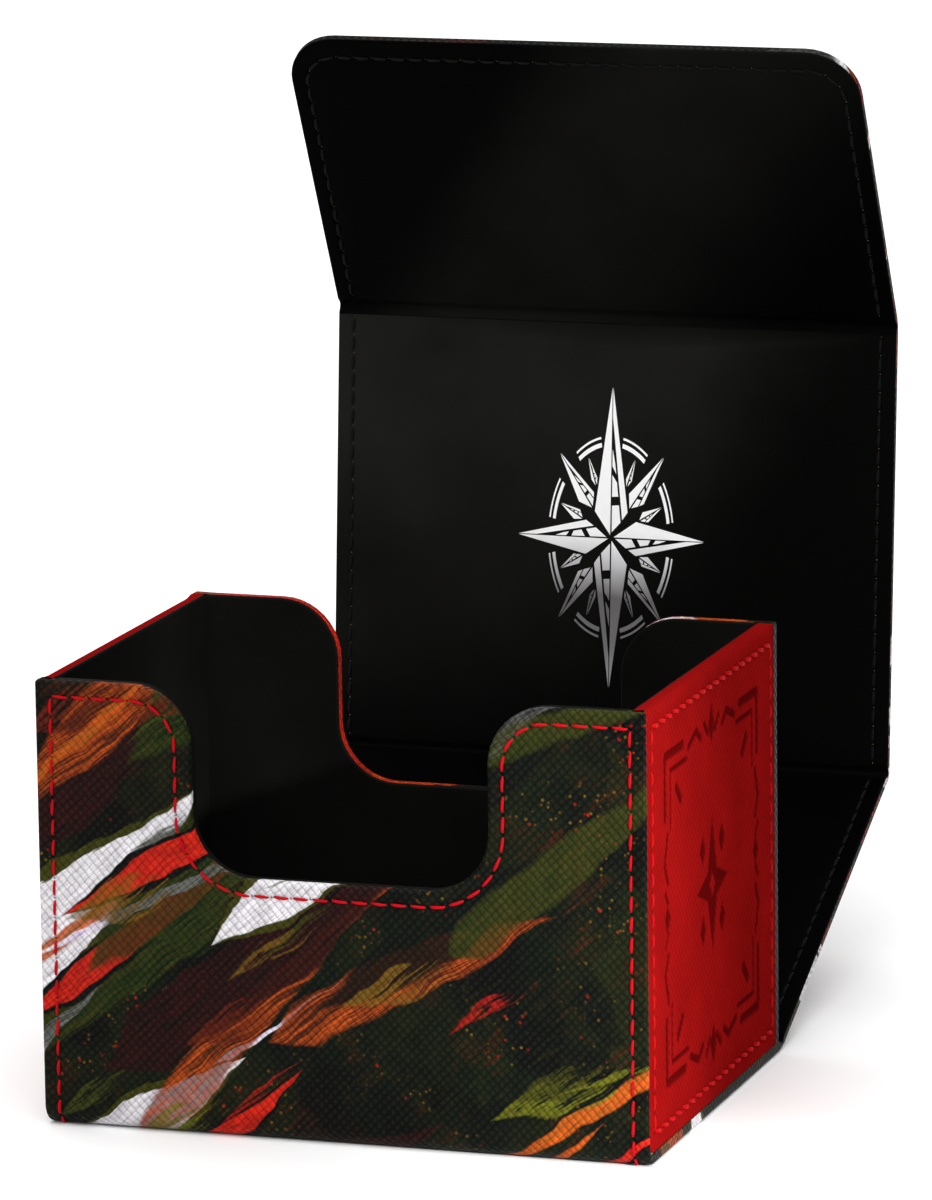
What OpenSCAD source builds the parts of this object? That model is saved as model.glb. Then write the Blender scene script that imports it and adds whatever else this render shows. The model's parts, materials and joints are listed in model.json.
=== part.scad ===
// Flip-top deck box for sleeved cards.
// A stiff open tray, and one long leatherette wrap: front wall, base, rear panel, top panel, flap.
// The origin is on the table under the middle of the tray. +X is right, +Y is back, +Z is up.

/* [Tray] */
// Outer width of the tray, left to right
tray_w = 102; // [90:1:120]
// Outer depth of the tray, front to back
tray_d = 75; // [60:1:100]
// Height of the tray walls above the table
tray_h = 73.5; // [68:0.5:85]
// Thickness of the wrap's panel under the tray
base_t = 2; // [1.6:0.2:3]
// Outer radius of the fold from the front wall to the base
front_fold_r = 3.4; // [3:0.2:5]
// Chipboard thickness of a tray wall
board_t = 2; // [1.6:0.2:3]
// Leatherette thickness on the tray
skin_t = 0.5; // [0.3:0.1:0.8]
// Lining thickness in the tray
lining_t = 0.5; // [0.3:0.1:0.8]
// How far the rear skin turns round onto each side
rear_turn = 2.2; // [1:0.2:4]

/* [Thumb cut-outs] */
// Width of each cut-out
cut_w = 49; // [40:1:60]
// Depth of each cut-out below the wall's top edge
cut_depth = 30.5; // [25:0.5:40]
// Radius of its corners
cut_r = 10; // [7:0.5:12]

/* [Lid] */
// Thickness of a lid panel
lid_t = 2; // [1.8:0.1:3]
// Leatherette thickness on the lid
lid_skin_t = 0.5; // [0.3:0.1:0.8]
// Lining thickness on the lid
lid_lining_t = 0.4; // [0.3:0.1:0.6]
// Rear panel, from fold line to fold line
rear_len = 75; // [74.5:0.5:90]
// Top panel, from fold line to fold line
top_len = 78.8; // [78.8:0.1:100]
// Flap, from its fold line to its free edge
flap_len = 57.7; // [40:0.1:65]
// Radius of the flap's two free corners
flap_r = 9; // [4:0.5:14]
// Distance from a fold line to the stiff panel before it
fold_before = 1.8; // [1.5:0.1:3]
// Distance from a fold line to the stiff panel after it
fold_after = 1.3; // [1.3:0.1:2]
// Air between the rear wall and the closed rear panel
fold_air = 0.9; // [0.3:0.1:1.2]

/* [Rest pose] */
// Rear panel above the table
rear_angle = 24.4; // [0:0.1:90]
// Top panel above the table
top_angle = 85.1; // [60:0.1:110]
// Flap above the table
flap_angle = 118; // [90:0.1:160]

/* [Stitching] */
// Length of one stitch
stitch_len = 2.7; // [2:0.1:3.5]
// Width of the thread
stitch_w = 0.7; // [0.4:0.1:1]
// How far a stitch stands off the skin
stitch_t = 0.3; // [0.1:0.1:0.5]
// Distance from stitch to stitch
stitch_pitch = 3.25; // [2.8:0.05:4.5]
// Distance from a front edge to its row of stitches
front_margin = 2.6; // [2:0.1:4]
// Distance from a side panel's edges to its rows
side_margin = 3; // [2:0.1:4]
// Distance from a lid panel's side edges to its rows
lid_margin = 2.8; // [2:0.1:4]
// Distance from the flap's free edge to its row
flap_margin = 3.6; // [2:0.1:5]

/* [Magnets] */
// Radius of each magnet and steel disc
magnet_r = 5; // [3:0.5:6]
// Distance from the box's middle to each magnet
magnet_x = 32; // [30:1:36]
// Height of the magnets on the closed box
magnet_z = 27; // [25:1:36]
// Thickness of the steel discs in the front wall
disc_t = 1.4; // [1:0.1:1.5]

/* [Emblem] */
// Width of the foil ornament on the top panel's lining
emblem_w = 34; // [20:1:50]
// Length of the ornament
emblem_len = 53; // [30:1:60]
// Foil thickness
foil_t = 0.1; // [0.1:0.05:0.2]

/* [Hidden] */
$fn = 48;

chipboard = "tan";
print_green = [0.13, 0.16, 0.09];
side_red = [0.75, 0.1, 0.1];
thread_red = [0.85, 0.06, 0.15];
inner_black = [0.06, 0.06, 0.06];
thread_black = [0.16, 0.16, 0.17];
steel = "silver";

// Depth of a wall's layers: chipboard from core_in to skin_t, lining inside it.
core_in = skin_t + board_t;
wall_t = core_in + lining_t;
half_w = tray_w / 2;
half_d = tray_d / 2;
floor_z = base_t + board_t;
cavity_z = floor_z + lining_t;
pad = 1;
// Room round a glued-in piece
glue_gap = 0.05;

// Fold lines as [y, z], and the panels' angles.
lid_core_t = lid_t - lid_skin_t - lid_lining_t;
rear_fold = [half_d + fold_air + lid_t / 2, base_t / 2];
top_fold = rear_fold + rear_len * [cos(rear_angle), sin(rear_angle)];
flap_fold = top_fold + top_len * [cos(top_angle), sin(top_angle)];
fold_web_t = 0.8;
flap_magnet_y = rear_fold[1] + rear_len - magnet_z;
emblem_y = top_len / 2;

/* Placing */

// Local x runs right, y runs up, and z points out of the wall.
module on_front() { translate([0, -half_d, 0]) rotate([90, 0, 0]) children(); }
module on_rear() { rotate([0, 0, 180]) on_front() children(); }
module on_right() { translate([half_w, 0, 0]) rotate([90, 0, 90]) children(); }
module on_left() { mirror([1, 0, 0]) on_right() children(); }

// Local y runs along the panel from its fold line, and z points to its lined side.
module on_panel(fold, angle) {
    translate([0, fold[0], fold[1]]) rotate([angle, 0, 0]) children();
}

// A block from corner a to corner b.
module block(a, b) { translate(a) cube(b - a); }

/* Outlines */

// One convex corner of the tab beside a cut-out, as the piece to take away.
module tab_corner(inset) {
    r = cut_r - inset;
    translate([cut_w / 2 + inset, tray_h - inset - r]) difference() {
        translate([-pad, 0]) square([r + pad, r + pad]);
        translate([r, 0]) circle(r);
    }
}

// The U-shaped cut-out, grown by inset, with rounded lower corners and rounded tabs.
module thumb_cut(inset) {
    r = cut_r + inset;
    half = cut_w / 2 + inset;
    low = tray_h - cut_depth - inset;
    translate([-half, low + r]) square([2 * half, tray_h + pad - low - r]);
    translate([r - half, low]) square([2 * half - 2 * r, r + pad]);
    for (s = [-1, 1]) translate([s * (half - r), low + r]) circle(r);
    for (s = [0, 1]) mirror([s, 0]) tab_corner(inset);
}

// A wall with its cut-out, from height low up to the top edge less inset.
module thumb_wall(half, low, inset) {
    difference() {
        translate([-half, low]) square([2 * half, tray_h - inset - low]);
        thumb_cut(inset);
    }
}

// A lid panel from its fold line, with its far corners rounded.
module panel_outline(half, start, end, r) {
    translate([-half, start]) square([2 * half, end - r - start]);
    if (r > 0) {
        translate([r - half, start]) square([2 * half - 2 * r, end - start]);
        for (s = [-1, 1]) translate([s * (half - r), end - r]) circle(r);
    }
}

/* Stitches */

module stitch() {
    translate([-stitch_len / 2, -stitch_w / 2, 0]) cube([stitch_len, stitch_w, stitch_t]);
}

// Whole stitches evenly spread from point a to point b.
module stitch_row(a, b) {
    run = norm(b - a);
    count = max(1, round(run / stitch_pitch));
    turn = atan2(b[1] - a[1], b[0] - a[0]);
    for (i = [0 : count - 1])
        translate(a + (b - a) * (i + 0.5) / count) rotate(turn) stitch();
}

// Stitches along an arc about c, from angle a0 to a1.
module stitch_arc(c, r, a0, a1) {
    count = max(1, round(abs(a1 - a0) * r * PI / 180 / stitch_pitch));
    for (i = [0 : count - 1]) {
        a = a0 + (a1 - a0) * (i + 0.5) / count;
        translate(c + r * [cos(a), sin(a)]) rotate(a + 90) stitch();
    }
}

// The right half of the row round a wall's edges and its cut-out.
module half_wall_row() {
    m = front_margin;
    edge = half_w - m;
    top = tray_h - m;
    cut = cut_w / 2 + m;
    low = tray_h - cut_depth - m;
    tab_r = cut_r - m;
    deep_r = cut_r + m;
    stitch_row([edge, front_fold_r], [edge, top - stitch_w]);
    stitch_row([edge, top], [cut + tab_r, top]);
    stitch_arc([cut + tab_r, top - tab_r], tab_r, 90, 180);
    stitch_row([cut, top - tab_r], [cut, low + deep_r]);
    stitch_arc([cut - deep_r, low + deep_r], deep_r, 0, -90);
    stitch_row([cut - deep_r, low], [stitch_w / 2, low]);
}

module wall_row() { for (s = [0, 1]) mirror([s, 0, 0]) half_wall_row(); }

// Four rows round a red side panel; local x runs to the rear.
module side_rows() {
    front = side_margin + skin_t - half_d;
    rear = half_d - rear_turn - side_margin + stitch_w;
    low = base_t + side_margin;
    high = tray_h - side_margin;
    stitch_row([front, low], [front, high]);
    stitch_row([rear, high], [rear, low]);
    stitch_row([front + stitch_w, high], [rear - stitch_w, high]);
    stitch_row([rear - stitch_w, low], [front + stitch_w, low]);
}

// The two side columns of a lid panel.
module lid_columns(start, end) {
    for (x = [-1, 1] * (half_w - lid_margin)) stitch_row([x, start], [x, end]);
}

/* Tray: chipboard */

module wall_board(low) {
    translate([0, 0, -core_in]) linear_extrude(board_t) thumb_wall(half_w - skin_t, low, skin_t);
}

module disc_places() {
    for (x = [-magnet_x, magnet_x]) translate([x, magnet_z, 0]) children();
}

module front_board() {
    color(chipboard) difference() {
        on_front() wall_board(base_t);
        on_front() disc_places() translate([0, 0, -skin_t - disc_t - glue_gap]) {
            cylinder(r = magnet_r + glue_gap, h = disc_t + glue_gap + pad);
        }
        outside_fold();
    }
}

module rear_board() { color(chipboard) on_rear() wall_board(base_t); }

module side_board() {
    y = half_d - core_in;
    block([half_w - core_in, -y, base_t], [half_w - skin_t, y, tray_h - skin_t]);
}

module left_side_board() { color(chipboard) mirror([1, 0, 0]) side_board(); }
module right_side_board() { color(chipboard) side_board(); }

module floor_board() {
    x = half_w - core_in;
    y = half_d - core_in;
    color(chipboard) block([-x, -y, base_t], [x, y, floor_z]);
}

module base_board() {
    x = half_w - skin_t;
    color(chipboard) difference() {
        block([-x, skin_t - half_d, skin_t], [x, half_d, base_t]);
        outside_fold();
    }
}

/* Tray: leatherette */

// A bar along the front fold, whose centre line is at its own height and depth.
module fold_bar(r, length) {
    translate([-length / 2, front_fold_r - half_d, front_fold_r]) rotate([0, 90, 0]) {
        cylinder(r = r, h = length);
    }
}

// The lower front corner that the fold cuts off.
module fold_corner() {
    block([-half_w, -half_d, 0], [half_w, front_fold_r - half_d, front_fold_r]);
}

// What lies outside the fold's inner face, to shape the chipboard inside it.
module outside_fold() {
    difference() {
        fold_corner();
        fold_bar(front_fold_r - skin_t - glue_gap, tray_w + 2 * pad);
    }
}

// The quarter-round fold under the front wall.
module front_fold() {
    intersection() {
        difference() {
            fold_bar(front_fold_r, tray_w);
            fold_bar(front_fold_r - skin_t, tray_w + 2 * pad);
        }
        fold_corner();
    }
}

module front_skin() {
    color(print_green) {
        on_front() translate([0, 0, -skin_t]) linear_extrude(skin_t) {
            thumb_wall(half_w, front_fold_r, 0);
        }
        on_front() wall_rim(front_fold_r);
        front_fold();
    }
}

// The skin turned over the top edge and the cut-out's edge.
module wall_rim(low) {
    translate([0, 0, -core_in]) linear_extrude(board_t) difference() {
        thumb_wall(half_w - skin_t, low, 0);
        thumb_wall(half_w - skin_t, low - pad, skin_t);
    }
}

module base_skin() {
    front = front_fold_r - half_d;
    color(print_green) {
        block([-half_w, front, 0], [half_w, half_d, skin_t]);
        for (s = [0, 1]) mirror([s, 0, 0]) {
            block([half_w - skin_t, front, skin_t], [half_w, half_d, base_t]);
        }
    }
}

module rear_skin() {
    color(print_green) {
        on_rear() translate([0, 0, -skin_t]) linear_extrude(skin_t) thumb_wall(half_w, base_t, 0);
        on_rear() wall_rim(base_t);
        for (s = [0, 1]) mirror([s, 0, 0]) {
            block([half_w - skin_t, half_d - rear_turn, base_t], [half_w, half_d - skin_t, tray_h]);
        }
    }
}

// The red panel, turned over the side wall's top edge and kept inside the front fold.
module side_skin() {
    y = half_d - core_in;
    difference() {
        union() {
            block([half_w - skin_t, skin_t - half_d, base_t], [half_w, half_d - rear_turn, tray_h]);
            block([half_w - core_in, -y, tray_h - skin_t], [half_w - skin_t, y, tray_h]);
        }
        outside_fold();
    }
}

module left_side_skin() { color(side_red) mirror([1, 0, 0]) side_skin(); }
module right_side_skin() { color(side_red) side_skin(); }

/* Tray: lining */

module wall_lining() {
    translate([0, 0, -wall_t]) linear_extrude(lining_t) thumb_wall(half_w - core_in, cavity_z, 0);
}

module front_lining() { color(inner_black) on_front() wall_lining(); }
module rear_lining() { color(inner_black) on_rear() wall_lining(); }

module side_lining() {
    y = half_d - wall_t;
    block([half_w - wall_t, -y, cavity_z], [half_w - core_in, y, tray_h]);
}

module left_lining() { color(inner_black) mirror([1, 0, 0]) side_lining(); }
module right_lining() { color(inner_black) side_lining(); }

module floor_lining() {
    x = half_w - core_in;
    y = half_d - core_in;
    color(inner_black) block([-x, -y, floor_z], [x, y, cavity_z]);
}

/* Tray: discs and thread */

module tray_magnets() {
    color(steel) on_front() disc_places() {
        translate([0, 0, -skin_t - disc_t]) cylinder(r = magnet_r, h = disc_t);
    }
}

module front_stitching() { color(thread_red) on_front() wall_row(); }
module rear_stitching() { color(thread_red) on_rear() wall_row(); }
module left_side_stitching() { color(thread_red) on_left() side_rows(); }
module right_side_stitching() { color(thread_red) on_right() side_rows(); }

/* Lid */

// The soft fold on a fold line: a round bead and the web back to the panel before it.
module fold_strip(web) {
    color(inner_black) translate([-half_w, 0, 0]) {
        rotate([0, 90, 0]) cylinder(r = lid_t / 2, h = tray_w);
        translate([0, -web, -fold_web_t / 2]) cube([tray_w, web, fold_web_t]);
    }
}

module lid_board(end, r) {
    color(chipboard) translate([0, 0, lid_skin_t - lid_t / 2]) linear_extrude(lid_core_t) {
        panel_outline(half_w - lid_skin_t, fold_after, end, r);
    }
}

// The outer face, with its edges turned up as far as the lining.
module lid_skin(end, turn, r) {
    color(print_green) translate([0, 0, -lid_t / 2]) {
        linear_extrude(lid_skin_t) panel_outline(half_w, fold_after, end, r);
        linear_extrude(lid_t - lid_lining_t) difference() {
            panel_outline(half_w, fold_after, end, r);
            panel_outline(half_w - lid_skin_t, fold_after - pad, end - turn, max(0, r - turn));
        }
    }
}

module lid_lining(end, r) {
    color(inner_black) translate([0, 0, lid_t / 2 - lid_lining_t]) linear_extrude(lid_lining_t) {
        panel_outline(half_w, fold_after, end, r);
    }
}

module on_lining() { translate([0, 0, lid_t / 2]) children(); }

rear_end = rear_len - fold_before;
top_end = top_len - fold_before;

module rear_fold_strip() { on_panel(rear_fold, 0) fold_strip(rear_fold[0] - half_d); }

module rear_panel_board() { on_panel(rear_fold, rear_angle) lid_board(rear_end, 0); }
module rear_panel_skin() { on_panel(rear_fold, rear_angle) lid_skin(rear_end, 0, 0); }
module rear_panel_lining() { on_panel(rear_fold, rear_angle) lid_lining(rear_end, 0); }
module rear_panel_stitching() {
    color(thread_black) on_panel(rear_fold, rear_angle) on_lining() {
        lid_columns(fold_before, rear_end);
    }
}
module top_fold_strip() { on_panel(top_fold, rear_angle) fold_strip(fold_before); }

module top_panel_board() { on_panel(top_fold, top_angle) lid_board(top_end, 0); }
module top_panel_skin() { on_panel(top_fold, top_angle) lid_skin(top_end, 0, 0); }
module top_panel_lining() { on_panel(top_fold, top_angle) lid_lining(top_end, 0); }
module top_panel_stitching() {
    color(thread_black) on_panel(top_fold, top_angle) on_lining() {
        lid_columns(fold_before, top_end);
    }
}
module flap_fold_strip() { on_panel(flap_fold, top_angle) fold_strip(fold_before); }

// A plain eight-pointed compass star, long along the panel.
module emblem_foil() {
    size = [emblem_w / 2, emblem_len / 2];
    reach = [1, 0.22, 0.5, 0.22];
    color(steel) on_panel(top_fold, top_angle) on_lining() translate([0, emblem_y, 0]) {
        linear_extrude(foil_t) polygon([
            for (i = [0 : 15]) [size[0] * cos(i * 22.5), size[1] * sin(i * 22.5)] * reach[i % 4]
        ]);
    }
}

module flap_magnet_places() {
    for (x = [-magnet_x, magnet_x]) translate([x, flap_magnet_y, lid_skin_t - lid_t / 2]) children();
}

module flap_board() {
    color(chipboard) difference() {
        on_panel(flap_fold, flap_angle) lid_board(flap_len - lid_skin_t, flap_r - lid_skin_t);
        on_panel(flap_fold, flap_angle) flap_magnet_places() translate([0, 0, -pad]) {
            cylinder(r = magnet_r + glue_gap, h = lid_core_t + 2 * pad);
        }
    }
}
module flap_skin() { on_panel(flap_fold, flap_angle) lid_skin(flap_len, lid_skin_t, flap_r); }
module flap_lining() { on_panel(flap_fold, flap_angle) lid_lining(flap_len, flap_r); }
module flap_stitching() {
    side = half_w - lid_margin;
    end = flap_len - flap_margin;
    r = flap_r - lid_margin;
    color(thread_black) on_panel(flap_fold, flap_angle) on_lining() {
        lid_columns(fold_before, end - r);
        for (s = [0, 1]) mirror([s, 0, 0]) stitch_arc([side - r, end - r], r, 0, 90);
        stitch_row([side - r, end], [r - side, end]);
    }
}
module flap_magnets() {
    color(steel) on_panel(flap_fold, flap_angle) flap_magnet_places() {
        cylinder(r = magnet_r, h = lid_core_t);
    }
}

front_board();
rear_board();
left_side_board();
right_side_board();
floor_board();
base_board();
front_skin();
base_skin();
rear_skin();
left_side_skin();
right_side_skin();
front_lining();
rear_lining();
left_lining();
right_lining();
floor_lining();
tray_magnets();
front_stitching();
rear_stitching();
left_side_stitching();
right_side_stitching();
rear_fold_strip();
rear_panel_board();
rear_panel_skin();
rear_panel_lining();
rear_panel_stitching();
top_fold_strip();
top_panel_board();
top_panel_skin();
top_panel_lining();
top_panel_stitching();
emblem_foil();
flap_fold_strip();
flap_board();
flap_skin();
flap_lining();
flap_stitching();
flap_magnets();
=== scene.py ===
"""Card deck box: a stiff open tray in printed and red leatherette, with a folding three-panel lid.

Every sheet is laid out flat in millimetres, as x across, s along and h out of its face, and then
folded into place. Printed art, grain and seams all use those flat coordinates.
"""

import json
import math
import random

import bmesh
import bpy
import numpy as np
from mathutils import Matrix, Vector
from mathutils.geometry import delaunay_2d_cdt


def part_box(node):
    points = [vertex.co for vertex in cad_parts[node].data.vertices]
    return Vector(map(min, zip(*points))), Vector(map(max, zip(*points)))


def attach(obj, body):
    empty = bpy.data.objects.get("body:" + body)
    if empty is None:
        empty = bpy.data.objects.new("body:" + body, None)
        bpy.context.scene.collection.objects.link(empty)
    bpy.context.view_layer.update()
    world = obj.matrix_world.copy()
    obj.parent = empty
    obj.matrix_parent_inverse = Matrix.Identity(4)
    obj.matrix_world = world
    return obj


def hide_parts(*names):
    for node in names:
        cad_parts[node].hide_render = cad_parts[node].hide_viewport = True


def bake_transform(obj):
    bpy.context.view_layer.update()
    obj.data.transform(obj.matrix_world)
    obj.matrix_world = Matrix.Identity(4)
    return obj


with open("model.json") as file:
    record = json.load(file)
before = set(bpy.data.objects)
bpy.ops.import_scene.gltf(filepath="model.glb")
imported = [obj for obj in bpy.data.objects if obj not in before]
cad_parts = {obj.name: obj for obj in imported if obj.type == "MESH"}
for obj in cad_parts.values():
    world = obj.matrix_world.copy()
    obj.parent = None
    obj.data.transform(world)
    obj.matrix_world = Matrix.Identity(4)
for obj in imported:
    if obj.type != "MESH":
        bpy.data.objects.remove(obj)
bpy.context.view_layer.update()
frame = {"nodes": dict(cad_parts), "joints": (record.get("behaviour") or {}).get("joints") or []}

MM = 0.001

# ---------------------------------------------------------------- sizes from the frame, in mm


def box_mm(node):
    lo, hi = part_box(node)
    return np.array(lo) / MM, np.array(hi) / MM


front_lo, front_hi = box_mm("front_skin")
base_lo, base_hi = box_mm("base_skin")
HALF_W = front_hi[0]
HALF_D = -front_lo[1]
TRAY_H = front_hi[2]
BASE_T = base_hi[2]
FOLD_R = base_lo[1] + HALF_D
WALL_T = box_mm("front_lining")[1][1] + HALF_D
BOARD_IN = box_mm("front_board")[1][1] + HALF_D
FLOOR_Z = box_mm("floor_lining")[1][2]
SIDE_END = box_mm("right_side_skin")[1][1]

joints = {j["name"]: j for j in frame["joints"]}
folds = {n: np.array(j["pos_m"][1:]) / MM for n, j in joints.items()}
# Every panel lies flat on the table when its joints are at their lower limits.
lowest = [joints[n]["range_deg"][0] for n in ("rear_fold", "top_fold", "flap_fold")]
REAR_ANGLE, TOP_ANGLE, FLAP_ANGLE = (math.radians(-sum(lowest[: i + 1])) for i in range(3))
REAR_LEN = np.linalg.norm(folds["top_fold"] - folds["rear_fold"])
TOP_LEN = np.linalg.norm(folds["flap_fold"] - folds["top_fold"])
LID_HALF_T = 1.0
flap_top = box_mm("flap_skin")[1][2] - folds["flap_fold"][1] + LID_HALF_T * math.cos(FLAP_ANGLE)
FLAP_LEN = flap_top / math.sin(FLAP_ANGLE)

SKIN_T = box_mm("front_board")[0][1] + HALF_D
CUT_HALF = 24.8
CUT_DEPTH = 30.7
CUT_R = 10.0
FLAP_R = 9.0
PANEL_R = 0.6
BEND_REACH = 1.8
FOLD_HALF_T = 0.45
FOLD_GAP = folds["rear_fold"][0] - HALF_D
STITCH_PITCH = 3.25
SIDE_PITCH = 3.8
FRONT_MARGIN = 2.6
SIDE_MARGIN = 3.0
LID_MARGIN = 2.8
FLAP_MARGIN = 3.7

# The wrap's length coordinate s: 0 at the table on the front wall, and falling towards the flap.
FOLD_ARC = FOLD_R * math.pi / 2
FOLD_END = FOLD_R - FOLD_ARC
BASE_END = FOLD_END - (2 * HALF_D - FOLD_R)
WRAP_REAR = BASE_END - FOLD_GAP
WRAP_TOP = WRAP_REAR - REAR_LEN
WRAP_FLAP = WRAP_TOP - TOP_LEN

# ---------------------------------------------------------------- paths and seams


def unit(v):
    return v / np.linalg.norm(v)


def lerp(a, b, t):
    return a + (b - a) * t


def smooth(value, lo, hi):
    """0 at lo and 1 at hi, with a soft step between them."""
    t = np.clip((value - lo) / (hi - lo), 0, 1)
    return t * t * (3 - 2 * t)


def right_of(d):
    return np.array([d[1], -d[0]])


def straight(a, b, rows, step):
    """The points between a and b, on the given rows where the line runs along s."""
    if len(rows) and abs(a[0] - b[0]) < 1e-6:
        lo, hi = sorted((a[1], b[1]))
        inner = sorted((r for r in rows if lo + 0.2 < r < hi - 0.2), reverse=bool(a[1] > b[1]))
        return [np.array([a[0], r]) for r in inner]
    count = max(1, round(np.linalg.norm(b - a) / step))
    return [a + (b - a) * i / count for i in range(1, count)]


def rounded_path(corners, rows=(), step=3.0, arc_step=9.0):
    """Points [x, s, normal x, normal s] along corners given as (x, s, radius).
    The sheet lies to the path's right, and the normals point into it."""
    p = [np.array(c[:2], float) for c in corners]
    points = []

    def add(at, normal):
        points.append([*at, *normal])

    add(p[0], right_of(unit(p[1] - p[0])))
    last = p[0]
    for i in range(1, len(p)):
        d0 = unit(p[i] - p[i - 1])
        if i == len(p) - 1:
            for q in straight(last, p[i], rows, step):
                add(q, right_of(d0))
            add(p[i], right_of(d0))
            break
        d1 = unit(p[i + 1] - p[i])
        turn = math.atan2(d0[0] * d1[1] - d0[1] * d1[0], d0 @ d1)
        radius = max(corners[i][2], 1e-3)
        back = radius * math.tan(abs(turn) / 2)
        start = p[i] - d0 * back
        for q in straight(last, start, rows, step):
            add(q, right_of(d0))
        side = 1 if turn < 0 else -1
        centre = start + side * right_of(d0) * radius
        count = max(2, round(abs(math.degrees(turn)) / arc_step))
        for k in range(count + 1):
            a = turn * k / count
            n = right_of(d0)
            n = np.array([n[0] * math.cos(a) - n[1] * math.sin(a), n[0] * math.sin(a) + n[1] * math.cos(a)])
            add(centre - side * n * radius, n)
        last = p[i] + d1 * back
    return np.array(points)


class Seam:
    """A sewn line along corners given as (x, s, radius), with whole stitches."""

    def __init__(self, corners, pitch=STITCH_PITCH):
        self.path = rounded_path(corners, step=0.5, arc_step=4)
        gaps = np.linalg.norm(np.diff(self.path[:, :2], axis=0), axis=1)
        self.lengths = np.concatenate([[0], np.cumsum(gaps)])
        self.length = self.lengths[-1]
        self.count = max(1, round(self.length / pitch))
        self.pitch = self.length / self.count

    def at(self, along, across=0.0):
        along = np.clip(along, 0, self.length)
        x, s, nx, ns = (np.interp(along, self.lengths, self.path[:, k]) for k in range(4))
        return np.stack([x + nx * across, s + ns * across], axis=-1)

    def holes(self):
        return self.at(np.arange(self.count + 1) * self.pitch)

    def mesh_points(self):
        """Points for the groove and its needle holes."""
        share = np.array([0, 0.09, 0.28, 0.5, 0.72, 0.91])
        along = ((np.arange(self.count)[:, None] + share) * self.pitch).ravel()
        along = np.append(along, self.length)
        rows = [self.at(along, across) for across in (-0.85, -0.32, 0, 0.32, 0.85)]
        return np.concatenate(rows)


# ---------------------------------------------------------------- sheets

RIM_ANGLES = np.radians([0, 15, 30, 45, 60, 75, 90])
RIM_SUPPORT = 0.12
GROOVE_DEPTH = 0.16
GROOVE_WIDTH = 0.6
HOLE_DEPTH = 0.34
HOLE_R = 0.3
PRESS_DEPTH = 0.28
PRESS_SLOPE = 0.34
MERGE = 2e-6


def nearest(points, targets):
    """Each point's distance to the nearest target."""
    if not len(targets):
        return np.full(len(points), 1e3)
    best = np.full(len(points), 1e3)
    for i in range(0, len(targets), 400):
        gap = points[:, None, :] - targets[None, i : i + 400, :]
        best = np.minimum(best, np.sqrt((gap**2).sum(-1)).min(axis=1))
    return best


def make_mesh(name, points, flat, faces, place, material, flip=False, marks=None):
    """A smooth mesh from flat points [x, s, h] in mm, placed and scaled to metres. flat is the
    coordinate that its material reads, and marks are further values for each point, by name."""
    mesh = bpy.data.meshes.new(name)
    if flip:
        faces = [f[::-1] for f in faces]
    mesh.from_pydata((place(*points.T) * MM).tolist(), [], faces)
    layer = mesh.attributes.new("flat_mm", "FLOAT_VECTOR", "POINT")
    layer.data.foreach_set("vector", flat.astype(np.float32).ravel())
    for mark, values in (marks or {}).items():
        layer = mesh.attributes.new(mark, "FLOAT", "POINT")
        layer.data.foreach_set("value", values.astype(np.float32))
    clean = bmesh.new()
    clean.from_mesh(mesh)
    bmesh.ops.remove_doubles(clean, verts=clean.verts, dist=MERGE)
    clean.to_mesh(mesh)
    clean.free()
    mesh.shade_smooth()
    obj = bpy.data.objects.new(name, mesh)
    bpy.context.scene.collection.objects.link(obj)
    mesh.materials.append(material)
    return obj


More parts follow.
